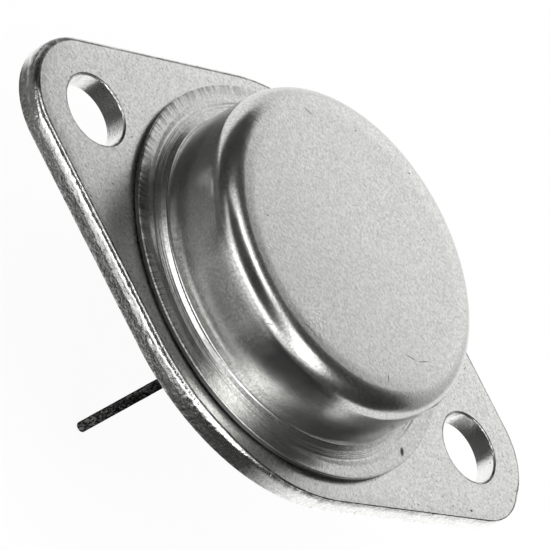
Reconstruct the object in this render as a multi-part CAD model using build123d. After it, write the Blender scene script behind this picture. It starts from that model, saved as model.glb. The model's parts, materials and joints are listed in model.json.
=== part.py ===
from build123d import *
import os

# A voltage regulator in a low metal can: a diamond-shaped steel base with two mounting
# holes, two leads sealed through it in glass, and a drawn cap welded over the chip.
# Frame, in millimetres: the origin is the centre of the mounting face, +X runs along the
# two mounting holes, +Z points from the base to the top of the cap, and the leads stand
# out along -Z. The whole part is its own mirror image about the plane Y = 0.

# Base plate, blanked from steel strip
hole_pitch = 30.15       # between the mounting holes
hole_d = 4.1
end_r = 4.45             # round ends of the base, about the mounting holes
plate_margin = 1.25      # plate left outside the cap's flange
base_t = 1.3
edge_roll = 0.4          # rounded upper edge that blanking leaves
hole_break = 0.15        # broken upper edge round the mounting holes

# Cap, drawn from steel sheet
cap_d = 19.6             # outside of the wall
cap_rise = 5.25          # from the base's top face to the flat top
skin_t = 0.35
shoulder_r = 1.35
wall_foot = 0.3          # slope between the wall and the flange
flange_w = 1.9           # from the wall out to the rim
land_t = 0.3             # coined land at the rim
land_w = 0.75
step_h = 0.06            # from the land up to the inner flange
step_w = 0.12
weld_gap = 0.1           # left under the flange when the weld ring has sunk in
weld_out = 0.95          # from the wall to the middle of the weld ring
weld_root_w = 0.6
weld_tip_w = 0.35

# Leads and their glass seals
lead_spacing = 11.0
lead_row_x = -1.6        # the pair stands off the centre, towards -X
lead_d = 0.64
lead_below = 11.7        # from the mounting face to the tip
lead_tip = 0.08          # broken edge at the cut tip
post_d = 0.95            # the lead swells to this inside the glass
post_rise = 1.0          # from the base's top face to the nail head
nail_head_d = 1.6
nail_head_t = 0.3
eyelet_d = 2.2           # hole in the base that the glass fills
seal_recess = 0.15       # from each face of the base to the glass

# Heat spreader and chip
spreader_l = 11.0
spreader_t = 1.0
spreader_corner = 0.8
spreader_break = 0.12    # broken upper edge
spreader_gap = 0.8       # from an eyelet to the spreader
pocket_depth = 0.2       # shallow pocket that seats the spreader
pocket_clearance = 0.05
braze_t = 0.08
die_l = 3.0
die_w = 2.6
die_t = 0.35
solder_t = 0.08
solder_margin = 0.1      # solder that shows round the chip

# Bond wires
wire_d = 0.25
wire_rise = 1.0          # top of the loop above the higher bond
wire_crest = 0.3         # share of the span at which the loop is highest
wire_pitch = 0.5         # between the two wires to one lead
wire_lift = 0.01         # the round wire clears what its foot is pressed to
foot_l = 0.6
foot_w = 0.38
foot_t = 0.15
pad_inset = 0.42         # from the chip's edge to the middle of a foot
power_pads_x = -0.6      # middle of the pair of pads beside each lead
ground_reach = 1.6       # from the chip's edge to the bond on the spreader

# Heights and radii that follow from those sizes
wall_r = cap_d / 2
flange_r = wall_r + flange_w
middle_r = flange_r + plate_margin
eyelet_r = eyelet_d / 2
flange_under = base_t + weld_gap
land_top = flange_under + land_t
flange_top = land_top + step_h
cap_top = base_t + cap_rise
seal_low = seal_recess
seal_high = base_t - seal_recess
nail_head_under = base_t + post_rise
nail_head_top = nail_head_under + nail_head_t
spreader_w = lead_spacing - eyelet_d - 2 * spreader_gap
braze_top = base_t - pocket_depth + braze_t
spreader_top = braze_top + spreader_t
solder_top = spreader_top + solder_t
die_top = solder_top + die_t


def block(length, width, low, height, corner=0.0):
    """An upright block about the Z axis, with its corners rounded if asked."""
    plan = RectangleRounded(length, width, corner) if corner else Rectangle(length, width)
    return Pos(0, 0, low) * extrude(plan, height)


def lead_place(side):
    """The point where a lead's axis meets the mounting face: side is -1 or +1 along Y."""
    return Pos(lead_row_x, side * lead_spacing / 2, 0)


def header_base():
    """The diamond is the hull of the middle disc and the two ends round the holes."""
    discs = [Edge.make_circle(middle_r)]
    for side in (-1, 1):
        discs.append(Pos(side * hole_pitch / 2, 0, 0) * Edge.make_circle(end_r))
    plate = extrude(make_hull(discs), base_t)
    plate = fillet(plate.faces().sort_by(Axis.Z)[-1].edges(), edge_roll)
    for side in (-1, 1):
        plate -= Pos(side * hole_pitch / 2, 0, 0) * Cylinder(
            hole_d / 2, base_t, align=(Align.CENTER, Align.CENTER, Align.MIN)
        )
    hole_rims = plate.faces().sort_by(Axis.Z)[-1].inner_wires().edges()
    plate = chamfer(hole_rims, hole_break)
    for side in (-1, 1):
        plate -= lead_place(side) * Cylinder(
            eyelet_r, base_t, align=(Align.CENTER, Align.CENTER, Align.MIN)
        )
    room = 2 * pocket_clearance
    plate -= block(
        spreader_l + room,
        spreader_w + room,
        base_t - pocket_depth,
        pocket_depth,
        spreader_corner + pocket_clearance,
    )
    return plate


def cap():
    """A turned section of the drawn shell, from the weld ring up to the flat top."""
    weld_r = wall_r + weld_out
    step_r = flange_r - land_w
    inside_r = wall_r - skin_t
    inside_top = cap_top - skin_t
    foot = (wall_r, flange_top)
    shoulder = (wall_r, cap_top)
    inner_shoulder = (inside_r, inside_top)
    mouth = (inside_r, flange_under)
    outline = [
        (flange_r, flange_under),
        (flange_r, land_top),
        (step_r, land_top),
        (step_r - step_w, flange_top),
        foot,
        shoulder,
        (0, cap_top),
        (0, inside_top),
        inner_shoulder,
        mouth,
        (weld_r - weld_root_w / 2, flange_under),
        (weld_r - weld_tip_w / 2, base_t),
        (weld_r + weld_tip_w / 2, base_t),
        (weld_r + weld_root_w / 2, flange_under),
    ]
    section = make_face(Polyline(*outline, close=True))
    breaks = (
        (foot, wall_foot),
        (mouth, wall_foot + skin_t / 2),
        (inner_shoulder, shoulder_r - skin_t),
    )
    for corner, width in breaks:
        point = section.vertices().sort_by_distance(corner)[0]
        section = chamfer(point, width)
    outer_corner = section.vertices().sort_by_distance(shoulder)[0]
    section = fillet(outer_corner, shoulder_r)
    return revolve(Plane.XZ * section, Axis.Z)


def lead(side):
    """A headed wire: its shank swells inside the glass and ends in a nail head."""
    shank_r = lead_d / 2
    outline = [
        (0, -lead_below),
        (shank_r - lead_tip, -lead_below),
        (shank_r, lead_tip - lead_below),
        (shank_r, seal_low),
        (post_d / 2, seal_high),
        (post_d / 2, nail_head_under),
        (nail_head_d / 2, nail_head_under),
        (nail_head_d / 2, nail_head_top),
        (0, nail_head_top),
    ]
    section = make_face(Polyline(*outline, close=True))
    return lead_place(side) * revolve(Plane.XZ * section, Axis.Z)


def seal(side):
    """Glass fused between eyelet and lead, a little below both faces of the base."""
    outline = [
        (lead_d / 2, seal_low),
        (eyelet_r, seal_low),
        (eyelet_r, seal_high),
        (post_d / 2, seal_high),
    ]
    section = make_face(Polyline(*outline, close=True))
    return lead_place(side) * revolve(Plane.XZ * section, Axis.Z)


def spreader_braze():
    """The film of braze that fixes the spreader in its pocket."""
    return block(spreader_l, spreader_w, base_t - pocket_depth, braze_t, spreader_corner)


def heat_spreader():
    """A copper block that takes the chip's heat out to the base."""
    slug = block(spreader_l, spreader_w, braze_top, spreader_t, spreader_corner)
    return chamfer(slug.faces().sort_by(Axis.Z)[-1].edges(), spreader_break)


def die_solder():
    """The solder under the chip, showing a narrow border."""
    border = 2 * solder_margin
    return block(die_l + border, die_w + border, spreader_top, solder_t)


def regulator_die():
    """The silicon chip."""
    return block(die_l, die_w, solder_top, die_t)


def bond_wire(start, end):
    """A wire looped between two bonds, with a flat foot pressed down at each.

    It climbs steeply from the first bond and runs down in a straight line to the second.
    """
    across = end - start
    turn = Vector(1, 0, 0).get_signed_angle(Vector(across.X, across.Y, 0))
    lift = Vector(0, 0, wire_d / 2 + wire_lift)
    crest = start + across * wire_crest
    crest.Z = max(start.Z, end.Z) + wire_rise
    route = Polyline(start + lift, crest, end + lift)
    start_plane = Plane(route @ 0, z_dir=route % 0)
    wire = sweep(start_plane * Circle(wire_d / 2), path=route, transition=Transition.RIGHT)
    for bond in (start, end):
        wire += Pos(bond) * Rot(0, 0, turn) * block(foot_l, foot_w, 0, foot_t)
    return wire


def power_wire(side, copy):
    """One of the two wires from the chip to a lead: copy is -1 or +1 along X."""
    offset = copy * wire_pitch / 2
    pad = Vector(power_pads_x + offset, side * (die_w / 2 - pad_inset), die_top)
    head = Vector(lead_row_x + offset, side * lead_spacing / 2, nail_head_top)
    return bond_wire(pad, head)


def ground_wire():
    """The wire from the chip down to the spreader, which is joined to the case."""
    pad = Vector(die_l / 2 - pad_inset, 0, die_top)
    bond = Vector(die_l / 2 + ground_reach, 0, spreader_top)
    return bond_wire(pad, bond)


nodes = {
    "header_base": header_base(),
    "cap": cap(),
    "heat_spreader": heat_spreader(),
    "spreader_braze": spreader_braze(),
    "die_solder": die_solder(),
    "regulator_die": regulator_die(),
    "ground_wire": ground_wire(),
}
for role, side in (("input", -1), ("output", 1)):
    nodes[f"{role}_lead"] = lead(side)
    nodes[f"{role}_seal"] = seal(side)
    nodes[f"{role}_wire_1"] = power_wire(side, -1)
    nodes[f"{role}_wire_2"] = power_wire(side, 1)

os.makedirs("parts", exist_ok=True)
for name, shape in nodes.items():
    export_step(shape, f"parts/{name}.step")
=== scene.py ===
import bpy
import json
import math
import numpy as np
from mathutils import Matrix, Vector, geometry, noise


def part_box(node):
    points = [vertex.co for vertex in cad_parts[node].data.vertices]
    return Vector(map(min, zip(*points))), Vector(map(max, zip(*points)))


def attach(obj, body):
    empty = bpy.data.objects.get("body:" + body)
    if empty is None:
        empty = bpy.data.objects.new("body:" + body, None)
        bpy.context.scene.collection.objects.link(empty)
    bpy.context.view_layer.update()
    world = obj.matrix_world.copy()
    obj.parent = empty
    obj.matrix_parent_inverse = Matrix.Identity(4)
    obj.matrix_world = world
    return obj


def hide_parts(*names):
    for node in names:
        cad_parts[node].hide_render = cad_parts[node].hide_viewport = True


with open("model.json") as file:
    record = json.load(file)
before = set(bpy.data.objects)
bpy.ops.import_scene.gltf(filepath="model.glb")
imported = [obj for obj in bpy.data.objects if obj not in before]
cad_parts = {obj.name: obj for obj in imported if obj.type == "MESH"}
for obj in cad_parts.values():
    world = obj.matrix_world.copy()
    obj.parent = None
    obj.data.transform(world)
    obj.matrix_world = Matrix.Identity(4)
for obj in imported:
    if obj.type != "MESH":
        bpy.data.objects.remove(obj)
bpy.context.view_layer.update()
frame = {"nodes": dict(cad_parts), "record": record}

# ---- Header base -----------------------------------------------------------------------------
# The part's carrier: a diamond blanked from 1.3 mm steel strip and nickel plated. The punch rolls
# the outer edge over, shears a short bright band and tears the rest, so the outer wall is smooth
# above and rough below. The holes are pierced clean, and their upper rims broken.
mm = 0.001
base_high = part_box("header_base")[1]
base_t = base_high.z
mounting = next(m for m in frame["record"]["mounts"] if m["name"] == "mounting_holes")
hole_reach = mounting["dims"]["spacing_x_mm"] * mm / 2
hole_r = mounting["dims"]["hole_r_mm"] * mm
middle_r = base_high.y
end_r = base_high.x - hole_reach
lead_low, lead_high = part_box("output_lead")
lead_x = (lead_low.x + lead_high.x) / 2
lead_y = (lead_low.y + lead_high.y) / 2
seal_box_low, seal_box_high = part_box("output_seal")
eyelet_r = (seal_box_high.x - seal_box_low.x) / 2
braze_box_low, braze_box_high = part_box("spreader_braze")
pocket_corner = 0.85 * mm
pocket_room = 0.05 * mm
edge_step = 0.07 * mm
roll = 0.42 * mm
tear_depth = 0.045 * mm
shaved_depth = 0.017 * mm
eyelet_step = 0.1 * mm
sag = 0.006 * mm


def smooth_noise(x, y, z, seed=0):
    """Noise between -1 and 1 that repeats nowhere near the part."""
    return noise.noise(Vector((x + 17.3 * seed, y - 9.1 * seed, z + 5.7 * seed)))


def held(value):
    """A value kept between 0 and 1."""
    return max(0.0, min(1.0, value))


def heading(angle):
    """The level unit vector at an angle in radians."""
    return Vector((math.cos(angle), math.sin(angle)))


broad_shade_way = heading(math.radians(170))    # towards the end where the painted shade of the crease runs broader
tight_way = heading(math.radians(-40))   # across the sides where punch and die stand closest, which are painted pale
close_way = heading(math.radians(-50))   # towards the side with the slight roll-over


def diamond(step):
    """The base's outline as (point, outward normal) pairs about a step apart."""
    tangent = math.acos((middle_r - end_r) / hole_reach)
    side_l = hole_reach * math.sin(tangent)
    arcs = (
        (Vector((hole_reach, 0)), end_r, -tangent, tangent),
        (Vector((0, 0)), middle_r, tangent, math.pi - tangent),
        (Vector((-hole_reach, 0)), end_r, math.pi - tangent, math.pi + tangent),
        (Vector((0, 0)), middle_r, math.pi + tangent, 2 * math.pi - tangent),
    )
    path = []
    for middle, radius, start, stop in arcs:
        count = max(8, round(radius * (stop - start) / step))
        for k in range(count):
            normal = heading(start + (stop - start) * k / count)
            path.append((middle + radius * normal, normal))
        normal = heading(stop)
        along = Vector((-normal.y, normal.x))
        count = round(side_l / step)
        for k in range(count):
            path.append((middle + radius * normal + along * side_l * k / count, normal))
    return path


def round_hole(x, y, radius, step):
    """A hole's outline, with each normal pointing away from the metal, into the hole."""
    count = round(2 * math.pi * radius / step)
    path = []
    for k in range(count):
        normal = -heading(-2 * math.pi * k / count)
        path.append((Vector((x, y)) - radius * normal, normal))
    return path


class Shell:
    """Points and faces of one piece, gathered before they become a mesh.

    Each point may carry marks, which tell the material how far a finish applies there.
    """

    def __init__(self, *mark_names):
        self.mark_names = mark_names
        self.points = []
        self.faces = []
        self.marks = []
        self.corners = set()

    def add(self, x, y, z, *marks):
        """Keeps a point with its marks, and gives back its number."""
        self.points.append((x, y, z))
        self.marks.append(marks + (0.0,) * (len(self.mark_names) - len(marks)))
        return len(self.points) - 1

    def join(self, upper, lower):
        """Joins two closed rows of as many points with a band of four-sided faces."""
        for k in range(len(upper)):
            after = (k + 1) % len(upper)
            self.faces.append((upper[k], lower[k], lower[after], upper[after]))

    def crease(self, row):
        """Keeps the shading apart on both sides of a closed row."""
        for k in range(len(row)):
            self.corners.add(frozenset((row[k - 1], row[k])))

    def piece(self, name, sharp_angle=35):
        """The mesh object, smooth but for its real corners."""
        mesh = bpy.data.meshes.new(name)
        mesh.from_pydata(self.points, [], self.faces)
        mesh.validate()
        for k, mark_name in enumerate(self.mark_names):
            layer = mesh.attributes.new(mark_name, "FLOAT", "POINT")
            layer.data.foreach_set("value", [marks[k] for marks in self.marks])
        mesh.shade_smooth()
        mesh.set_sharp_from_angle(angle=math.radians(sharp_angle))
        for edge in mesh.edges:
            if frozenset(edge.vertices) in self.corners:
                edge.use_edge_sharp = True
        piece = bpy.data.objects.new(name, mesh)
        bpy.context.scene.collection.objects.link(piece)
        return piece


def crease_shade(x, y, normal, size, share, width):
    """Painted shade: how dark the crease is painted, where the flat face turns down, at a share of the
    way down the edge.

    width is the share of the edge that it covers. The painted shade is broader where the edge is
    slight and at the -X end.
    """
    broad_shade = held((normal.dot(broad_shade_way) - 0.75) / 0.2)
    broken = 1 + 0.4 * smooth_noise(x / 0.5, y / 0.5, 0, 15)
    middle = 0.13 + 0.25 * broad_shade + 0.2 * (1 - size)
    spread = width + 0.42 * broad_shade + 0.5 * (1 - size)
    return broken * math.exp(-((share - middle) / spread) ** 2) * min(1.0, 10 * share)


def rolled_edge(shell, path, sizes, width, drop, angle, crease_shade_w, marks):
    """The rounded upper edge that the punch leaves, in rows from the flat face down.

    sizes gives the share of the full width and drop at each point of the path. The edge turns
    down by the angle, and the marks grow to full along the way. Each point also carries the painted
    shade of the crease.
    """
    rows = []
    steps = 10
    last = math.radians(angle)
    for k in range(steps + 1):
        share = k / steps
        tilt = last * k / steps
        inset = width * (1 - math.sin(tilt) / math.sin(last))
        fall = drop * (1 - math.cos(tilt)) / (1 - math.cos(last))
        grown = [share ** 0.5 * mark for mark in marks]
        row = []
        for size, (point, normal) in zip(sizes, path):
            x, y = point.x / mm, point.y / mm
            wander = 0.018 * (1 + smooth_noise(x / 0.9, y / 0.9, share * 3, 1))
            chatter = 0.032 * (1 + smooth_noise(x / 0.25, y / 0.25, share * 4, 2))
            dent = share * (0.4 + 0.6 * size) * mm * (wander + chatter)
            place = point - normal * (inset * size + dent)
            # crease is a painted shade: how dark the crease is painted at this point
            crease = crease_shade(x, y, normal, size, share, crease_shade_w)
            row.append(shell.add(place.x, place.y, base_t - fall * size, *grown, crease))
        rows.append(row)
    return rows


def torn_wall(shell, path, highs):
    """The wall from the foot of the roll: a sheared band, then torn metal down to the foot.

    The band runs deeper on two opposite sides, where punch and die stand closest. The last mark
    frosts those sides and paints them pale and hardly metallic, a painted light.
    """
    rows = []
    steps = 11
    for k in range(steps + 1):
        share = k / steps
        row = []
        for high, (point, normal) in zip(highs, path):
            x, y = point.x / mm, point.y / mm
            tight = held((abs(normal.dot(tight_way)) - 0.70) / 0.2)
            ragged = 1 + 0.6 * smooth_noise(x / 0.8, y / 0.8, 0, 3)
            ragged += 0.5 * smooth_noise(x / 0.22, y / 0.22, 0, 4)
            band = (0.14 + 0.34 * tight) * mm * ragged
            z = high - band + (band - high) * share
            torn = min(1.0, 3 * share)
            lump = smooth_noise(x / 0.35, y / 0.35, z / (0.35 * mm), 5)
            tear = smooth_noise(x / 0.14, y / 0.14, z / (0.7 * mm), 6)
            dent = 0.018 * mm + tear_depth * torn * (0.6 + 0.5 * lump + 0.4 * tear)
            if k == steps:
                dent = 0.03 * mm    # an even foot
            place = point - normal * dent
            # The last mark frosts the two closest sides and paints them pale, a painted light.
            row.append(shell.add(place.x, place.y, z, torn * (1 - tight),
                                 (1 - torn) * (1 - tight), 0.0, 0.0, tight))
        rows.append(row)
    return rows


def roll_size(normal):
    """The roll-over is as deep all round, but slight on the side where the punch stood closest."""
    return 0.22 + 0.78 * held((0.95 - normal.dot(close_way)) / 0.25)


def smooth_wall(shell, path, high):
    """A pierced and plated wall, smooth from that height down to the foot."""
    rows = []
    for z in (high, high - 0.04 * mm, 0.04 * mm, 0.0):
        row = []
        for point, normal in path:
            place = point - normal * shaved_depth
            row.append(shell.add(place.x, place.y, z, 0.0, 0.0, 1.0))
        rows.append(row)
    return rows


def joined(shell, rows):
    """Joins the rows, and gives back the first and the last."""
    for upper, lower in zip(rows, rows[1:]):
        shell.join(upper, lower)
    return rows[0], rows[-1]


def inside(x, y, ring):
    """Whether a point lies inside a closed ring of points."""
    a = np.array(ring)
    b = np.roll(a, -1, axis=0)
    spans = (a[:, 1] > y) != (b[:, 1] > y)
    rise = np.where(b[:, 1] == a[:, 1], 1.0, b[:, 1] - a[:, 1])
    cross = a[:, 0] + (y - a[:, 1]) * (b[:, 0] - a[:, 0]) / rise
    return bool(np.count_nonzero(spans & (x < cross)) % 2)


def bulged(point):
    """A point's plan in millimetres, drawn in a little far out, so no straight side stays straight."""
    flat = Vector(point[:2]) / mm
    return flat * (1 - 1e-4 * flat.length_squared)


def flat_face(shell, outer, holes, z, pitch, upward):
    """Fills a flat face between its outer ring and its holes, with points a pitch apart."""
    rings = [outer] + holes
    outlines = [[shell.points[i][:2] for i in ring] for ring in rings]
    used = [i for ring in rings for i in ring]
    reach = np.array(outlines[0])
    edge_points = np.array([shell.points[i][:2] for i in used])
    for x in np.arange(reach[:, 0].min() + pitch, reach[:, 0].max(), pitch):
        for y in np.arange(reach[:, 1].min() + pitch, reach[:, 1].max(), pitch):
            apart = np.abs(edge_points - (x, y)).max(axis=1).min()
            if apart > 0.45 * pitch and inside(x, y, outlines[0]):
                if not any(inside(x, y, outline) for outline in outlines[1:]):
                    used.append(shell.add(x, y, z))
    flat = [bulged(shell.points[i]) for i in used]
    edges, first = [], 0
    for ring in rings:
        count = len(ring)
        edges += [(first + k, first + (k + 1) % count) for k in range(count)]
        first += count
    places, _, faces, origins, _, _ = geometry.delaunay_2d_cdt(flat, edges, [], 0, 1e-6)
    for face in faces:
        corners = [used[origins[i][0]] for i in face]
        middle = np.mean([shell.points[i][:2] for i in corners], axis=0)
        if not inside(middle[0], middle[1], outlines[0]):
            continue
        if any(inside(middle[0], middle[1], outline) for outline in outlines[1:]):
            continue
        area = (places[face[1]] - places[face[0]]).cross(places[face[2]] - places[face[0]])
        if (area > 0) != upward:
            corners.reverse()
        shell.faces.append(tuple(corners))


def rounded_rectangle(length, width, corner, count):
    """Corner points of a rectangle with round corners, count points to each corner."""
    ring = []
    for quarter in range(4):
        side_x = 1 if quarter in (0, 3) else -1
        side_y = 1 if quarter in (0, 1) else -1
        for k in range(count):
            angle = math.radians(90) * (quarter + k / (count - 1))
            ring.append((side_x * (length / 2 - corner) + corner * math.cos(angle),
                         side_y * (width / 2 - corner) + corner * math.sin(angle)))
    return ring


base = Shell("torn", "rolled", "pierced", "painted_crease_shade", "frosted_and_painted_pale")
outline = diamond(edge_step)
sizes = [roll_size(normal) for _, normal in outline]
outer_rows = rolled_edge(
    base, outline, sizes, width=roll, drop=roll, angle=88, crease_shade_w=0.12, marks=(0.0, 1.0, 0.0))
outer_rows += torn_wall(base, outline, [base_t - roll * size for size in sizes])
outer_top, outer_foot = joined(base, outer_rows)
top_holes, foot_holes = [], []
for side in (-1, 1):
    for path, break_w, break_h in (
        (round_hole(side * hole_reach, 0, hole_r, edge_step), 0.17 * mm, 0.055 * mm),
        (round_hole(lead_x, side * lead_y, eyelet_r, eyelet_step), 0.08 * mm, 0.05 * mm),
    ):
        hole_rows = rolled_edge(
            base, path, [1.0] * len(path), width=break_w, drop=break_h, angle=40, crease_shade_w=0.4,
            marks=(0.0, 0.0, 1.0))
        hole_rows += smooth_wall(base, path, base_t - break_h - 0.01 * mm)
        hole_top, hole_foot = joined(base, hole_rows)
        base.crease(hole_top)
        top_holes.append(hole_top)
        foot_holes.append(hole_foot)
pocket_outline = rounded_rectangle(
    braze_box_high.x - braze_box_low.x + 2 * pocket_room,
    braze_box_high.y - braze_box_low.y + 2 * pocket_room, pocket_corner, 9,
)
pocket_brim = [base.add(x, y, base_t) for x, y in pocket_outline]
pocket_floor = [base.add(x, y, braze_box_low.z) for x, y in pocket_outline]
base.join(pocket_brim[::-1], pocket_floor[::-1])
base.faces.append(tuple(pocket_floor))
flat_face(base, outer_top, top_holes + [pocket_brim], z=base_t, pitch=0.7 * mm, upward=True)
flat_face(base, outer_foot, foot_holes, z=0.0, pitch=1.2 * mm, upward=False)
# Rolled strip is never quite flat: the upper face sags a few microns here and there.
for i, (x, y, z) in enumerate(base.points):
    uneven = sag * (1 + smooth_noise(x / (4 * mm), y / (4 * mm), 0, 7))
    base.points[i] = (x, y, z - uneven * z / base_t)
base_plate = base.piece("base_plate")

nickel_tint = (1.0, 1.0, 0.975)
score_depth = 6e-6


def add_node(material, kind, settings=(), **inputs):
    """A shader node; each input is a value or the output that feeds it."""
    node = material.node_tree.nodes.new(kind)
    for name, value in settings:
        setattr(node, name, value)
    for name, value in inputs.items():
        socket = node.inputs[int(name[1:]) if name[1:].isdigit() else name.replace("_", " ")]
        if isinstance(value, bpy.types.NodeSocket):
            material.node_tree.links.new(value, socket)
        else:
            socket.default_value = value
    return node


def new_material(name):
    """An empty material with its output node."""
    material = bpy.data.materials.new(name)
    material.use_nodes = True
    material.node_tree.nodes.clear()
    return material, add_node(material, "ShaderNodeOutputMaterial")


def grain(material, size, detail=2.0, stretch=(1, 1, 1), rough=0.5):
    """Noise in the part's own space, whose patches are about that size."""
    place = add_node(material, "ShaderNodeTexCoord").outputs["Object"]
    scaled = add_node(material, "ShaderNodeMapping", Vector=place, Scale=[s / size for s in stretch])
    noise_node = add_node(material, "ShaderNodeTexNoise", Vector=scaled.outputs["Vector"],
                          Scale=1.0, Detail=detail, Roughness=rough)
    return noise_node.outputs["Fac"]


def ranged(material, value, low, high, to_low, to_high):
    """Maps a value from one range to another, and stops at the ends."""
    node = add_node(material, "ShaderNodeMapRange", Value=value, From_Min=low, From_Max=high,
                    To_Min=to_low, To_Max=to_high)
    return node.outputs["Result"]


def sums(material, operation, first, second):
    """One sum of two values, such as ADD or MULTIPLY."""
    return add_node(material, "ShaderNodeMath", [("operation", operation)],
                    i0=first, i1=second).outputs[0]


def bumped(material, height, depth):
    """A surface normal roughened by a height that runs over that depth."""
    node = add_node(material, "ShaderNodeBump", Height=height, Distance=depth, Strength=1.0)
    return node.outputs["Normal"]


def mixed(material, share, first, second):
    """A value that runs from the first to the second as the share grows."""
    return add_node(material, "ShaderNodeMix", Factor=share, i2=first, i3=second).outputs[0]


def mixed_colour(material, share, first, second):
    """A colour that runs from the first to the second as the share grows."""
    return add_node(material, "ShaderNodeMix", [("data_type", "RGBA")], Factor=share,
                    i6=(*first, 1), i7=(*second, 1)).outputs[2]


def mark_of(material, mark_name):
    """How far a mark applies at each point."""
    return add_node(material, "ShaderNodeAttribute", [("attribute_name", mark_name)]).outputs["Fac"]


def plated_steel(name, plain, marked, worn):
    """Nickel plate with a fine mottled grain.

    A finish is (brightness, roughness, contrast of the grain, its depth, metallic); plain is the
    finish all over, and marked that of each marked area. worn(material) is 1 where it is scored.
    """
    material, output = new_material(name)
    finish = plain
    for mark_name, own in marked:
        mark = mark_of(material, mark_name)
        finish = [before if before == after else mixed(material, mark, before, after)
                  for before, after in zip(finish, own)]
    brightness, roughness, contrast, depth, metallic = finish
    fine = grain(material, 0.15 * mm, 2.0, rough=0.6)
    cloud = grain(material, 3.0 * mm, 2.0)
    score = worn(material)
    shade = sums(material, "MULTIPLY", ranged(material, fine, 0.25, 0.75, -1.0, 1.0), contrast)
    shade = sums(material, "ADD", shade, ranged(material, cloud, 0.3, 0.7, 0.96, 1.04))
    shade = sums(material, "MULTIPLY", shade, ranged(material, score, 0, 1, 1.0, 0.08))
    tone = add_node(material, "ShaderNodeVectorMath", [("operation", "SCALE")],
                    i0=nickel_tint, Scale=sums(material, "MULTIPLY", brightness, shade))
    height = sums(material, "SUBTRACT", sums(material, "MULTIPLY", fine, depth),
                  sums(material, "MULTIPLY", score, score_depth))
    gloss = sums(material, "ADD", roughness, ranged(material, cloud, 0.3, 0.7, -0.03, 0.03))
    steel = add_node(material, "ShaderNodeBsdfPrincipled", Base_Color=tone.outputs[0],
                     Metallic=metallic, Roughness=gloss, Normal=bumped(material, height, 1.0))
    material.node_tree.links.new(steel.outputs["BSDF"], output.inputs["Surface"])
    return material


def nicked(material, score, nicks):
    """Adds single nicks to a score: (x, y, length, width, turn, strength) in mm and degrees."""
    place = add_node(material, "ShaderNodeTexCoord").outputs["Object"]
    for x, y, length, width, turn, strength in nicks:
        near = add_node(material, "ShaderNodeMapping", [("vector_type", "TEXTURE")], Vector=place,
                        Location=(x * mm, y * mm, 0), Rotation=(0, 0, math.radians(turn)),
                        Scale=(length / 2 * mm, width / 2 * mm, 1)).outputs["Vector"]
        away = add_node(material, "ShaderNodeVectorMath", [("operation", "LENGTH")], i0=near)
        nick = ranged(material, away.outputs["Value"], 0.5, 1.0, strength, 0.0)
        score = sums(material, "MAXIMUM", score, nick)
    return score


def specks(material):
    """Small dark pits in the rolled strip, under the plating."""
    pits = ranged(material, grain(material, 0.22 * mm, 1.0), 0.69, 0.77, 0.0, 0.6)
    return nicked(material, pits, (
        (16.2, -4.0, 0.24, 0.18, 20, 1),
        (-9.6, 8.9, 0.5, 0.07, 50, 0.8),
    ))


base_finishes = (
    ("rolled", (0.95, 0.17, 0.16, 24e-6, 1.0)),
    ("torn", (0.43, 0.42, 0.50, 50e-6, 1.0)),
    ("pierced", (0.92, 0.22, 0.08, 8e-6, 1.0)),
    # Painted shade: the crease where the flat face turns down is painted nearly black.
    ("painted_crease_shade", (0.11, 0.35, 0.6, 20e-6, 1.0)),
    # Painted light: these two sides are painted nearly white and hardly metallic, as if light washed
    # them out; the roughness is their frosting.
    ("frosted_and_painted_pale", (0.98, 0.40, 0.22, 30e-6, 0.12)),
)
base_plain = (0.84, 0.29, 0.27, 11e-6, 1.0)
base_plate.data.materials.append(
    plated_steel("matt_nickel_base", base_plain, base_finishes, specks))
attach(base_plate, "root")
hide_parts("header_base")

# ---- Leads -----------------------------------------------------------------------------------
# Two nickel-iron wires, cut to length and left dull by the sealing furnace, and painted nearly
# black besides, a painted shade for the shaded table under the part that they mirror. Each swells
# to a thicker post inside the glass and ends under the cap in a pressed nail head.
lead_r = 0.32 * mm
lead_tip_round = 0.05 * mm
post_r = 0.475 * mm
head_r = (lead_high.x - lead_low.x) / 2
head_t = 0.3 * mm
head_break = 0.08 * mm
lead_sides = (("input", -1), ("output", 1))


def arc(middle, radius, start, stop, steps):
    """Points of a section along an arc, with its angles in degrees from the radial direction."""
    points = []
    for k in range(steps + 1):
        angle = math.radians(start + (stop - start) * k / steps)
        points.append((middle[0] + radius * math.cos(angle), middle[1] + radius * math.sin(angle)))
    return points


def straight(start, stop, steps):
    """Points of a section along a line, without its ends."""
    return [(start[0] + (stop[0] - start[0]) * k / steps,
             start[1] + (stop[1] - start[1]) * k / steps) for k in range(1, steps)]


def turned(shell, section, x, y, count, closed, mark=None, lump=None):
    """Turns a section of (radius, height) points about an upright axis.

    lump(radius, angle, z) gives (radial shift, height shift); mark(radius, z) the marks.
    """
    rows = []
    for radius, z in section:
        marks = mark(radius, z) if mark else ()
        if radius == 0:
            rows.append([shell.add(x, y, z, *marks)])
            continue
        row = []
        for k in range(count):
            angle = 2 * math.pi * k / count
            out, up = lump(radius, angle, z) if lump else (0.0, 0.0)
            row.append(shell.add(x + (radius + out) * math.cos(angle),
                                 y + (radius + out) * math.sin(angle), z + up, *marks))
        rows.append(row)
    pairs = list(zip(rows, rows[1:])) + ([(rows[-1], rows[0])] if closed else [])
    for upper, lower in pairs:
        if len(upper) == 1 and len(lower) == 1:
            continue
        for k in range(count):
            after = (k + 1) % count
            if len(upper) == 1:
                shell.faces.append((upper[0], lower[k], lower[after]))
            elif len(lower) == 1:
                shell.faces.append((upper[k], lower[0], upper[after]))
            else:
                shell.faces.append((upper[k], lower[k], lower[after], upper[after]))


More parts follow.
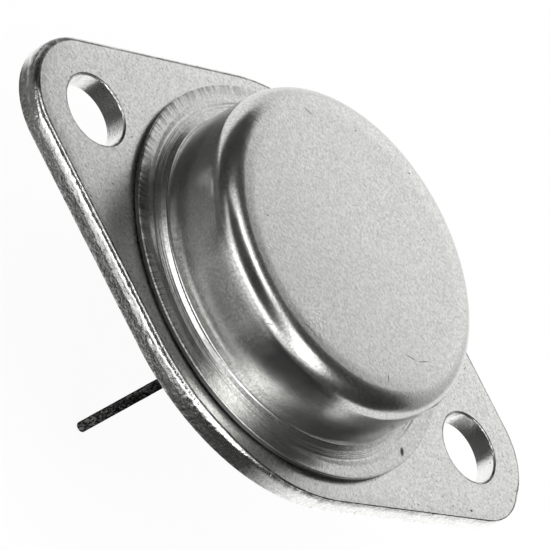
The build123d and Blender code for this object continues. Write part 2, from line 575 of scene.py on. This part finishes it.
def lead_skin(radius, angle, z):
    """Shallow dents and drawing ripples of a hand-straightened wire."""
    if radius < 0.2 * mm:
        return 0.0, 0.0
    dent = smooth_noise(math.cos(angle), math.sin(angle), z / (0.7 * mm), 8)
    crumb = smooth_noise(3 * math.cos(angle), 3 * math.sin(angle), z / (0.12 * mm), 9)
    return -0.008 * mm * (1 + dent) - 0.004 * mm * (1 + crumb), 0.0


def lead_section():
    """From the middle of the nail head down to the middle of the cut tip."""
    top, tip = lead_high.z, lead_low.z
    under_head = top - head_t
    section = [(0, top), (head_r - 0.06 * mm, top)]
    section += [(head_r, top - head_break), (head_r, under_head + head_break)]
    section += [(head_r - head_break, under_head), (post_r, under_head)]
    section += [(post_r, seal_box_high.z), (lead_r, seal_box_low.z)]
    tip_middle = (lead_r - lead_tip_round, tip + 0.06 * mm)
    section += straight(section[-1], (lead_r, tip_middle[1]), 90)
    section += arc(tip_middle, lead_tip_round, 0, -90, 6)
    return section + [(0, tip)]


def dull_and_shaded_wire(name):
    """Furnace-dulled nickel-iron, painted nearly black as a painted shade, with lighter spots where it
    has been rubbed.
    """
    material, output = new_material(name)
    streak = grain(material, 0.12 * mm, 3.0, stretch=(1, 1, 0.7), rough=0.65)
    blotch = grain(material, 0.6 * mm, 2.0)
    rubbed = sums(material, "MULTIPLY", ranged(material, streak, 0.44, 0.66, 0.0, 1.0),
                  ranged(material, blotch, 0.35, 0.65, 0.4, 1.0))
    # Painted shade: the nearly black colour stands in for the shaded table under the part, which the
    # wire mirrors.
    colour = mixed_colour(material, rubbed, (0.012, 0.012, 0.012), (0.24, 0.24, 0.235))
    wire = add_node(material, "ShaderNodeBsdfPrincipled", Base_Color=colour, Metallic=1.0,
                    Specular_Tint=(0.15, 0.15, 0.15, 1),
                    Roughness=ranged(material, rubbed, 0, 1, 0.42, 0.34),
                    Normal=bumped(material, streak, 14e-6))
    material.node_tree.links.new(wire.outputs["BSDF"], output.inputs["Surface"])
    return material


lead_finish = dull_and_shaded_wire("dull_and_shaded_nickel_iron")
for role, side in lead_sides:
    wire = Shell()
    turned(wire, lead_section(), lead_x, side * lead_y, 40, closed=False, lump=lead_skin)
    lead_piece = wire.piece(f"{role}_lead_wire", 50)
    lead_piece.data.materials.append(lead_finish)
    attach(lead_piece, "root")
    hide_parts(f"{role}_lead")

# ---- Glass seals -----------------------------------------------------------------------------
# A bead of glass melted into each eyelet grips the lead and keeps the air out. It is dark and
# glossy, and its two faces are hollow, because the glass climbed the metal as it wetted it.
seal_dip = 0.12 * mm


def hollow_face(start_r, stop_r, z, dip):
    """One face of the bead between two radii, which sinks to that depth in its middle."""
    steps = 12
    points = []
    for k in range(steps + 1):
        share = k / steps
        sunk = dip * math.sin(math.pi * share) ** 0.7
        points.append((start_r + (stop_r - start_r) * share, z + sunk))
    return points


def seal_section():
    """The bead's closed section, between the lead and the eyelet's wall."""
    under = hollow_face(lead_r, eyelet_r, seal_box_low.z, seal_dip)
    over = hollow_face(eyelet_r, post_r, seal_box_high.z, -seal_dip)
    return (under + over)[::-1]


def sealing_glass(name):
    """Dark green-grey glass with fine bubbles."""
    material, output = new_material(name)
    place = add_node(material, "ShaderNodeTexCoord").outputs["Object"]
    bubbles = add_node(material, "ShaderNodeTexVoronoi", Vector=place, Scale=1 / (0.22 * mm))
    colour = mixed_colour(
        material, grain(material, 0.5 * mm), (0.015, 0.024, 0.022), (0.06, 0.085, 0.075))
    rise = ranged(material, bubbles.outputs["Distance"], 0, 0.35, 0, 1)
    glass = add_node(material, "ShaderNodeBsdfPrincipled", Base_Color=colour, Roughness=0.12,
                     IOR=1.5, Normal=bumped(material, rise, 4e-6))
    material.node_tree.links.new(glass.outputs["BSDF"], output.inputs["Surface"])
    return material


seal_finish = sealing_glass("sealing_glass")
for role, side in lead_sides:
    bead = Shell()
    turned(bead, seal_section(), lead_x, side * lead_y, 72, closed=True)
    bead_piece = bead.piece(f"{role}_glass_bead", 40)
    bead_piece.data.materials.append(seal_finish)
    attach(bead_piece, "root")
    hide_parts(f"{role}_seal")

# ---- Heat spreader and its braze -------------------------------------------------------------
# A block punched from rolled copper carries the chip's heat out sideways into the steel. A film
# of silver braze, melted in a furnace, fixes it in the pocket of the base.


def sheet_metal(name, dark, light, roughness, size, depth, stretch=(1, 1, 1)):
    """Bare rolled or cast metal with a grain of that size, drawn out along one way if asked."""
    material, output = new_material(name)
    lines = grain(material, size, 3.0, stretch, rough=0.6)
    colour = mixed_colour(material, lines, dark, light)
    metal = add_node(material, "ShaderNodeBsdfPrincipled", Base_Color=colour, Metallic=1.0,
                     Roughness=ranged(material, lines, 0.3, 0.7, roughness, 1.3 * roughness),
                     Normal=bumped(material, lines, depth))
    material.node_tree.links.new(metal.outputs["BSDF"], output.inputs["Surface"])
    return material


def finish_node(node, material):
    """Gives a piece of the frame its own finish."""
    for slot in frame["nodes"][node].material_slots:
        slot.material = material


finish_node("heat_spreader", sheet_metal(
    "rolled_copper", (0.55, 0.25, 0.14), (0.80, 0.45, 0.30),
    roughness=0.32, size=0.25 * mm, depth=4e-6, stretch=(1, 6, 1)))
finish_node("spreader_braze", sheet_metal(
    "silver_braze", (0.62, 0.56, 0.44), (0.84, 0.80, 0.70),
    roughness=0.3, size=0.4 * mm, depth=1e-5))

# ---- Chip and its solder ---------------------------------------------------------------------
# The regulator is one silicon chip soldered down flat: polished silicon under a grid of fine
# aluminium tracks, with a dull rim of solder round it.


def patterned_silicon(name):
    """Polished silicon whose cells of track differ a little in tone."""
    material, output = new_material(name)
    place = add_node(material, "ShaderNodeTexCoord").outputs["Object"]
    cells = add_node(material, "ShaderNodeTexBrick", Vector=place, Scale=1 / (0.5 * mm),
                     Mortar_Size=0.03, Brick_Width=1.0, Row_Height=0.6,
                     Color1=(0.16, 0.19, 0.26, 1), Color2=(0.30, 0.30, 0.36, 1),
                     Mortar=(0.62, 0.62, 0.60, 1))
    gloss = ranged(material, grain(material, 0.3 * mm), 0.3, 0.7, 0.12, 0.22)
    chip = add_node(material, "ShaderNodeBsdfPrincipled", Base_Color=cells.outputs["Color"],
                    Metallic=0.7, Roughness=gloss,
                    Normal=bumped(material, cells.outputs["Fac"], 2e-6))
    material.node_tree.links.new(chip.outputs["BSDF"], output.inputs["Surface"])
    return material


finish_node("regulator_die", patterned_silicon("patterned_silicon"))
finish_node("die_solder", sheet_metal(
    "soft_solder", (0.40, 0.40, 0.42), (0.66, 0.66, 0.67),
    roughness=0.4, size=0.15 * mm, depth=1e-5))

# ---- Bond wires ------------------------------------------------------------------------------
# Drawn aluminium wire, rubbed down cold by a wedge that welds it and presses each foot flat. Two
# run from the chip to each lead, and one to the spreader, which joins the chip to the can.
wire_finish = sheet_metal(
    "drawn_aluminium", (0.70, 0.70, 0.71), (0.88, 0.88, 0.88),
    roughness=0.25, size=0.05 * mm, depth=2e-6, stretch=(1, 1, 0.3))
for node in ("input_wire_1", "input_wire_2", "output_wire_1", "output_wire_2", "ground_wire"):
    finish_node(node, wire_finish)

# ---- Cap -------------------------------------------------------------------------------------
# A low can drawn from steel sheet and nickel plated, welded all round to the base over the chip.
# Its top stays matt as rolled, the die burnishes its shoulder and wall, and the welding ring
# coins the flange, which leaves fine radial marks along the rim. The rim's outer face is painted
# dark, a painted shadow of the gap under the flange.
cap_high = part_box("cap")[1]
cap_top = cap_high.z
flange_r = cap_high.x
wall_r = 9.8 * mm
shoulder_r = 1.35 * mm
turn_r = wall_r - shoulder_r
turn_z = cap_top - shoulder_r
skin_t = 0.35 * mm
flange_under = base_t + 0.1 * mm
land_top = flange_under + 0.3 * mm
land_in = flange_r - 0.72 * mm
flange_top = land_top + 0.05 * mm
rim_round = 0.07 * mm
ridges = (wall_r + 0.68 * mm, wall_r + 0.48 * mm)
weld_r = wall_r + 0.95 * mm
brow_r = 6.6 * mm
brow_fall = 0.035 * mm
foot_w = 0.35 * mm
foot_slope = 27
foot_fillet = 0.16 * mm


def cap_section():
    """The shell's closed section, from the rim over the top and back along the inside."""
    points = [(flange_r - 0.02 * mm, flange_under), (flange_r, land_top - rim_round - 0.05 * mm)]
    points += arc((flange_r - rim_round, land_top - rim_round), rim_round, 0, 90, 4)
    points += straight(points[-1], (land_in, land_top), 5)
    points += [(land_in, land_top), (land_in - 0.08 * mm, land_top + 0.008 * mm)]
    points += [(land_in - 0.22 * mm, flange_top - 0.008 * mm), (land_in - 0.3 * mm, flange_top)]
    for ridge_r in ridges:
        for out, fall in ((0.06, 0), (0.03, 0.018), (0, 0.025), (-0.03, 0.018), (-0.06, 0)):
            points.append((ridge_r + out * mm, flange_top - fall * mm))
    slope = math.radians(foot_slope)
    along, rise = math.sin(slope), math.cos(slope)
    foot_z = flange_top + (foot_fillet * (1 - along) + foot_w * along) / rise
    ramp_foot = (wall_r + foot_w, flange_top)
    fillet = arc((wall_r + foot_fillet, foot_z), foot_fillet, 270 - foot_slope, 180, 8)
    points += [ramp_foot] + straight(ramp_foot, fillet[0], 5) + fillet
    points += straight(points[-1], (wall_r, turn_z), 14)
    points += arc((turn_r, turn_z), shoulder_r, 0, 90, 24)
    points += straight(points[-1], (brow_r, cap_top), 6) + [(brow_r, cap_top)]
    points += straight(points[-1], (0, cap_top), 4)
    points += [(0, cap_top), (0, cap_top - skin_t)]
    points += straight(points[-1], (turn_r, cap_top - skin_t), 3)
    points += arc((turn_r, turn_z), shoulder_r - skin_t, 90, 0, 5)
    points += [(wall_r - skin_t, foot_z), (wall_r + 0.1 * mm, flange_under)]
    points += [(weld_r - 0.3 * mm, flange_under), (weld_r - 0.175 * mm, base_t)]
    points += [(weld_r + 0.175 * mm, base_t), (weld_r + 0.3 * mm, flange_under)]
    return points[::-1]


def cap_skin(radius, angle, z):
    """The top's slight dish and the fall at its brow, and the waves that drawing leaves."""
    x, y = math.cos(angle), math.sin(angle)
    if radius > wall_r + 0.01 * mm:
        if z < land_top - 0.1 * mm or radius > flange_r - 0.02 * mm:
            return 0.0, 0.0
        wave = smooth_noise(14 * x, 14 * y, radius / (0.6 * mm), 10)
        return 0.0, -0.003 * mm * (1 + wave)
    if radius < turn_r:
        dish = 1 + smooth_noise(x * radius / (3 * mm), y * radius / (3 * mm), 0, 14)
        share = max(0.0, radius - brow_r) / (turn_r - brow_r)
        return 0.0, -0.004 * mm * dish * (1 - share) - brow_fall * share ** 10
    wave = smooth_noise(8 * x, 8 * y, z / (1.6 * mm), 12)
    high = max(0.0, (z - turn_z) / shoulder_r)
    return -0.005 * mm * (1 + wave) * (1 - high), -brow_fall * high


def cap_finish(radius, z):
    """How far the skin is burnished or coined at a point of the section, and where the rim's outer
    face is painted dark, a painted shadow of the gap under the flange.
    """
    # Painted shadow: the rim's outer face below the land is painted nearly black for the gap under the
    # flange.
    if radius > flange_r - 0.05 * mm and z < land_top - 0.05 * mm:
        return 0.0, 0.0, 1.0
    if radius >= wall_r + foot_w:
        return 0.85, max(0.0, (radius - land_in) / (flange_r - land_in))
    return held((radius - turn_r) / (0.5 * mm)), 0.0


def coin_marks(material):
    """Short dark marks that point at the axis, pressed into the rim by the welding ring.

    They are hard on the -X side and faint on the other.
    """
    place = add_node(material, "ShaderNodeTexCoord").outputs["Object"]
    flat = add_node(material, "ShaderNodeMapping", Vector=place, Scale=(1, 1, 0)).outputs["Vector"]
    turn = add_node(material, "ShaderNodeVectorMath", [("operation", "NORMALIZE")], i0=flat)
    row = add_node(material, "ShaderNodeTexNoise", Vector=turn.outputs[0],
                   Scale=flange_r / (0.24 * mm), Detail=2.0, Roughness=0.6)
    streak = ranged(material, row.outputs["Fac"], 0.43, 0.57, 0.0, 1.0)
    across = add_node(material, "ShaderNodeVectorMath", [("operation", "DOT_PRODUCT")],
                      i0=turn.outputs[0], i1=(-0.97, 0.0, 0.0)).outputs["Value"]
    hard = ranged(material, across, 0.2, 0.9, 0.08, 0.72)
    marks = sums(material, "MULTIPLY", streak, hard)
    return sums(material, "MULTIPLY", marks, mark_of(material, "coined"))


def cap_wear(material):
    """The marks in the rim, hairlines all over, and single scratches and pits."""
    hairline = grain(material, 0.8 * mm, 0.0, stretch=(1, 11, 1))
    scratch = ranged(material, hairline, 0.83, 0.86, 0.0, 0.4)
    return nicked(material, sums(material, "MAXIMUM", coin_marks(material), scratch), (
        (10.15, -4.7, 0.74, 0.36, -75, 1),
        (5.4, -4.15, 1.0, 0.10, 16, 0.7),
        (6.3, -3.7, 1.1, 0.09, 42, 0.7),
        (4.25, -6.75, 0.65, 0.10, -68, 0.8),
        (-5.4, 5.67, 0.75, 0.10, 4, 0.7),
        (-2.0, 7.3, 0.3, 0.09, 60, 0.8),
        (2.3, 7.8, 0.16, 0.12, 0, 1),
        (-6.2, -3.4, 0.2, 0.13, 0, 1),
        (1.2, 1.9, 0.5, 0.06, 110, 0.8),
    ))


can = Shell("burnished", "coined", "rim_shadow")
turned(can, cap_section(), 0, 0, 960, closed=True, mark=cap_finish, lump=cap_skin)
cap_shell = can.piece("cap_shell", 40)
cap_finishes = (
    ("burnished", (0.64, 0.215, 0.24, 3e-6, 1.0)),
    # Painted shadow: the rim's outer face, painted nearly black.
    ("rim_shadow", (0.13, 0.35, 0.3, 10e-6, 1.0)),
)
cap_plain = (0.83, 0.30, 0.26, 11e-6, 1.0)
cap_shell.data.materials.append(
    plated_steel("drawn_nickel_cap", cap_plain, cap_finishes, cap_wear))
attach(cap_shell, "root")
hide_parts("cap")

# ---- Studio ----------------------------------------------------------------------------------
# A pale table and a white surround, three softboxes, and dark and grey cards that give the
# bright metal something to show. The dark cards that lie on the table close about and under the
# part, and under the mounting holes, are painted shadow: they stand in for the part's shadow,
# which the metal mirrors. The camera doesn't see the lamps and cards themselves.
table_z = lead_low.z
card_lift = 0.2 * mm
card_columns = 61
card_steps = 24
lamp_distance = 0.4


def direction(azimuth, elevation):
    """The unit vector towards an azimuth and an elevation in degrees."""
    a, e = math.radians(azimuth), math.radians(elevation)
    return Vector((math.cos(a) * math.cos(e), math.sin(a) * math.cos(e), math.sin(e)))


def soft_card(name, rows, levels, feather):
    """A card from rows of points, one row to each level, that fades out at its edges.

    feather is the share of the card's width and height over which it fades.
    """
    tall, wide = len(rows), len(rows[0])
    faces, cover, bright = [], [], []
    for i in range(tall):
        for j in range(wide):
            share = min(i / (tall - 1), 1 - i / (tall - 1), j / (wide - 1), 1 - j / (wide - 1))
            reach = min(1.0, share / feather)
            cover.append(reach * reach * (3 - 2 * reach))
            bright.append(levels[i])
            if i and j:
                faces.append((wide * (i - 1) + j - 1, wide * (i - 1) + j, wide * i + j,
                              wide * i + j - 1))
    mesh = bpy.data.meshes.new(name)
    mesh.from_pydata([point for row in rows for point in row], [], faces)
    mesh.attributes.new("cover", "FLOAT", "POINT").data.foreach_set("value", cover)
    mesh.attributes.new("bright", "FLOAT", "POINT").data.foreach_set("value", bright)
    material, output = new_material(name)
    glow = add_node(material, "ShaderNodeEmission", Color=(1, 1, 1, 1),
                    Strength=mark_of(material, "bright"))
    clear = add_node(material, "ShaderNodeBsdfTransparent")
    faded = add_node(material, "ShaderNodeMixShader", Fac=mark_of(material, "cover"),
                     i1=clear.outputs["BSDF"], i2=glow.outputs["Emission"])
    material.node_tree.links.new(faded.outputs["Shader"], output.inputs["Surface"])
    mesh.materials.append(material)
    panel = bpy.data.objects.new(name, mesh)
    bpy.context.scene.collection.objects.link(panel)
    panel.visible_camera = False
    panel.visible_diffuse = False
    panel.visible_shadow = False
    panel.visible_transmission = False


def between(stations):
    """Azimuths along a card, with its two sizes and its brightness at each."""
    azimuths = np.linspace(stations[0][0], stations[-1][0], card_columns)
    marks = np.array(stations, dtype=float).T
    return azimuths, [np.interp(azimuths, marks[0], row) for row in marks[1:]]


def hung_card(name, stations, feather, reach=0.5):
    """A curved card hung round the part, from (azimuth, low, high elevation, brightness)."""
    azimuths, (low, high, levels) = between(stations)
    rows = [[direction(azimuth, low[i] + (high[i] - low[i]) * k / card_steps) * reach
             for k in range(card_steps + 1)] for i, azimuth in enumerate(azimuths)]
    soft_card(name, rows, levels, feather)


def laid_card(name, stations, feather):
    """A card lying on the table, from (azimuth, near, far in mm from the axis, brightness)."""
    height = Vector((0, 0, table_z + card_lift))
    azimuths, (near, far, levels) = between(stations)
    rows = [[direction(azimuth, 0) * mm * near[i] * (far[i] / near[i]) ** (k / card_steps) + height
             for k in range(card_steps + 1)] for i, azimuth in enumerate(azimuths)]
    soft_card(name, rows, levels, feather)


def hole_shadow_card(name, side):
    """A small dark card just under a mounting hole, a little off its axis, for its wall to mirror: a
    painted shadow where the plate's shade falls.

    It runs from 0.4 to 4.4 mm about its middle, on the camera's side.
    """
    middle = Vector((side * hole_reach + 0.1 * mm, 1.2 * mm, -2 * mm))
    rows = [[middle + direction(azimuth, 0) * mm * (0.4 + 4 * k / card_steps)
             for k in range(card_steps + 1)] for azimuth in np.linspace(-32, -190, card_columns)]
    soft_card(name, rows, [0.05] * card_columns, 0.1)


# The flat faces mirror the far card, the shoulder the arch and the card behind the camera, and
# the upright walls the cards that lie on the table.
hung_card("card_arch", (
    (-104, -6, -2, 0.05), (-88, -6, 4, 0.05), (-75, -6, 14, 0.05), (-60, -6, 30, 0.05),
    (-45, -6, 45, 0.05), (-30, -6, 66, 0.04), (-15, -3, 80, 0.04), (0, 6, 84, 0.04),
    (15, 27, 84, 0.05), (30, 38, 84, 0.05), (60, 43, 83, 0.05), (90, 31, 78, 0.04),
    (105, 17, 70, 0.04), (120, 11, 64, 0.04), (135, 0, 57, 0.04), (150, -5, 50, 0.04),
    (165, -6, 37, 0.05), (180, -6, 24, 0.08), (196, -6, 13, 0.10), (207, -6, 1, 0.12),
), 0.06)
hung_card("card_far", (
    (-8, -4, 36, 0.2), (8, -4, 40, 0.32), (20, -4, 43, 0.48), (34, -4, 44, 0.68),
    (48, -4, 44, 0.90), (62, -4, 44, 0.98), (78, -4, 44, 0.94), (92, -4, 42, 0.84),
    (112, -4, 30, 0.80),
), 0.12)
hung_card("card_close", (
    (15, 36, 62, 0.05), (40, 42, 64, 0.05), (60, 44, 66, 0.05), (80, 42, 64, 0.05),
    (105, 30, 60, 0.05),
), 0.08, reach=0.08)
hung_card("card_behind_camera", (
    (-200, 32, 74, 0.08), (-165, 28, 76, 0.05), (-135, 26.5, 78, 0.04), (-105, 28, 76, 0.04),
    (-90, 40, 72, 0.10),
), 0.045)
laid_card("card_right", ((-114, 12, 500, 0.12), (-96, 12, 500, 0.03), (-40, 12, 500, 0.03)), 0.08)
# Painted shadow: dark cards lying on the table close about the part stand in for its shadow, which the
# metal mirrors.
laid_card("painted_shadow_right_near", (
    (-100, 12, 31, 0.04), (-32, 12, 31, 0.04), (-20, 22, 33, 0.04), (2, 30, 34, 0.04),
), 0.08)
# Painted shadow: a dark card under the part stands in for its shadow on the table.
laid_card("painted_shadow_under", ((-160, 8.5, 14, 0.04), (-30, 8.5, 14, 0.04)), 0.12)
# Painted shadow: dark cards under the mounting holes stand in for the shade under the plate.
hole_shadow_card("painted_shadow_hole_left", -1)
hole_shadow_card("painted_shadow_hole_right", 1)
laid_card("card_left", (
    (96, 24, 32, 0.05), (110, 24, 34, 0.04), (122, 26, 38, 0.04), (135, 27.5, 50, 0.04),
    (148, 27.5, 100, 0.10), (160, 26, 500, 0.13), (180, 24, 500, 0.13), (212, 24, 500, 0.10),
), 0.07)
# Painted shadow: the dark card close in front stands in for the part's shadow on the table.
laid_card("painted_shadow_front", ((-176, 12, 34.2, 0.04), (-92, 12, 34.2, 0.04)), 0.04)
laid_card("card_front_far", ((-160, 33, 90, 0.45), (-140, 33, 90, 0.65), (-100, 33, 90, 0.55)), 0.06)


def softbox(name, azimuth, elevation, width, height, lean, level):
    """A soft lamp aimed at the part, of an even brightness, leaned over by that many degrees."""
    lamp = bpy.data.lights.new(name, "AREA")
    lamp.shape = "RECTANGLE"
    lamp.size, lamp.size_y = width, height
    lamp.energy = level * math.pi * width * height
    holder = bpy.data.objects.new(name, lamp)
    bpy.context.scene.collection.objects.link(holder)
    towards = direction(azimuth, elevation)
    holder.location = towards * lamp_distance
    aimed = towards.to_track_quat("Z", "Y").to_matrix()
    holder.rotation_euler = (aimed @ Matrix.Rotation(math.radians(lean), 3, "Z")).to_euler()
    holder.visible_camera = False


softbox("softbox_above", 152, 77, width=0.08, height=0.20, lean=0, level=1.6)
softbox("softbox_side", -68, 50, width=0.11, height=0.38, lean=-20, level=1.6)
softbox("softbox_camera_side", -126, 17.5, width=0.42, height=0.10, lean=0, level=1.4)

world = bpy.data.worlds.new("white_surround")
world.use_nodes = True
world.node_tree.nodes["Background"].inputs["Color"].default_value = (1, 1, 1, 1)
world.node_tree.nodes["Background"].inputs["Strength"].default_value = 1.0
world.cycles.sampling_method = "NONE"
bpy.context.scene.world = world


def pale_table():
    """White to the eye and in the metal, but it still takes the part's shadow."""
    material, output = new_material("pale_table")
    ray = add_node(material, "ShaderNodeLightPath")
    seen = sums(material, "MAXIMUM", ray.outputs["Is Camera Ray"], ray.outputs["Is Glossy Ray"])
    seen = sums(material, "MAXIMUM", seen, ray.outputs["Is Transmission Ray"])
    card_white = add_node(material, "ShaderNodeBsdfDiffuse", Color=(0.9, 0.9, 0.9, 1))
    glow = add_node(material, "ShaderNodeEmission", Color=(1, 1, 1, 1), Strength=1.0)
    lit = add_node(material, "ShaderNodeMixShader", Fac=sums(material, "MULTIPLY", seen, 0.9),
                   i1=card_white.outputs["BSDF"], i2=glow.outputs["Emission"])
    material.node_tree.links.new(lit.outputs["Shader"], output.inputs["Surface"])
    return material


table_half = 4.0
table_mesh = bpy.data.meshes.new("table")
table_mesh.from_pydata([(x * table_half, y * table_half, table_z)
                        for x, y in ((-1, -1), (1, -1), (1, 1), (-1, 1))], [], [(0, 1, 2, 3)])
table_mesh.materials.append(pale_table())
table = bpy.data.objects.new("table", table_mesh)
bpy.context.scene.collection.objects.link(table)

# ---- Camera ----------------------------------------------------------------------------------
# A long lens looks down at the part from its front left, rolled so that the base lies from corner
# to corner of the view.
view_azimuth, view_elevation, view_roll = -120.36, 34.99, 60.72
view_distance = 262.96 * mm
aim = Vector((-0.393, 0.680, 0.561)) * mm
camera_data = bpy.data.cameras.new("camera")
camera_data.sensor_width = 36
camera_data.lens = 315.0
camera_data.clip_start = 0.01
camera_data.clip_end = 20
camera = bpy.data.objects.new("camera", camera_data)
bpy.context.scene.collection.objects.link(camera)
back = direction(view_azimuth, view_elevation)
right = Vector((0, 0, 1)).cross(back).normalized()
up = back.cross(right)
lean = math.radians(view_roll)
rolled_right = right * math.cos(lean) + up * math.sin(lean)
rolled_up = up * math.cos(lean) - right * math.sin(lean)
place = aim + back * view_distance
camera.matrix_world = Matrix((
    (rolled_right.x, rolled_up.x, back.x, place.x),
    (rolled_right.y, rolled_up.y, back.y, place.y),
    (rolled_right.z, rolled_up.z, back.z, place.z),
    (0, 0, 0, 1),
))
bpy.context.scene.camera = camera
bpy.context.scene.view_settings.view_transform = "Standard"
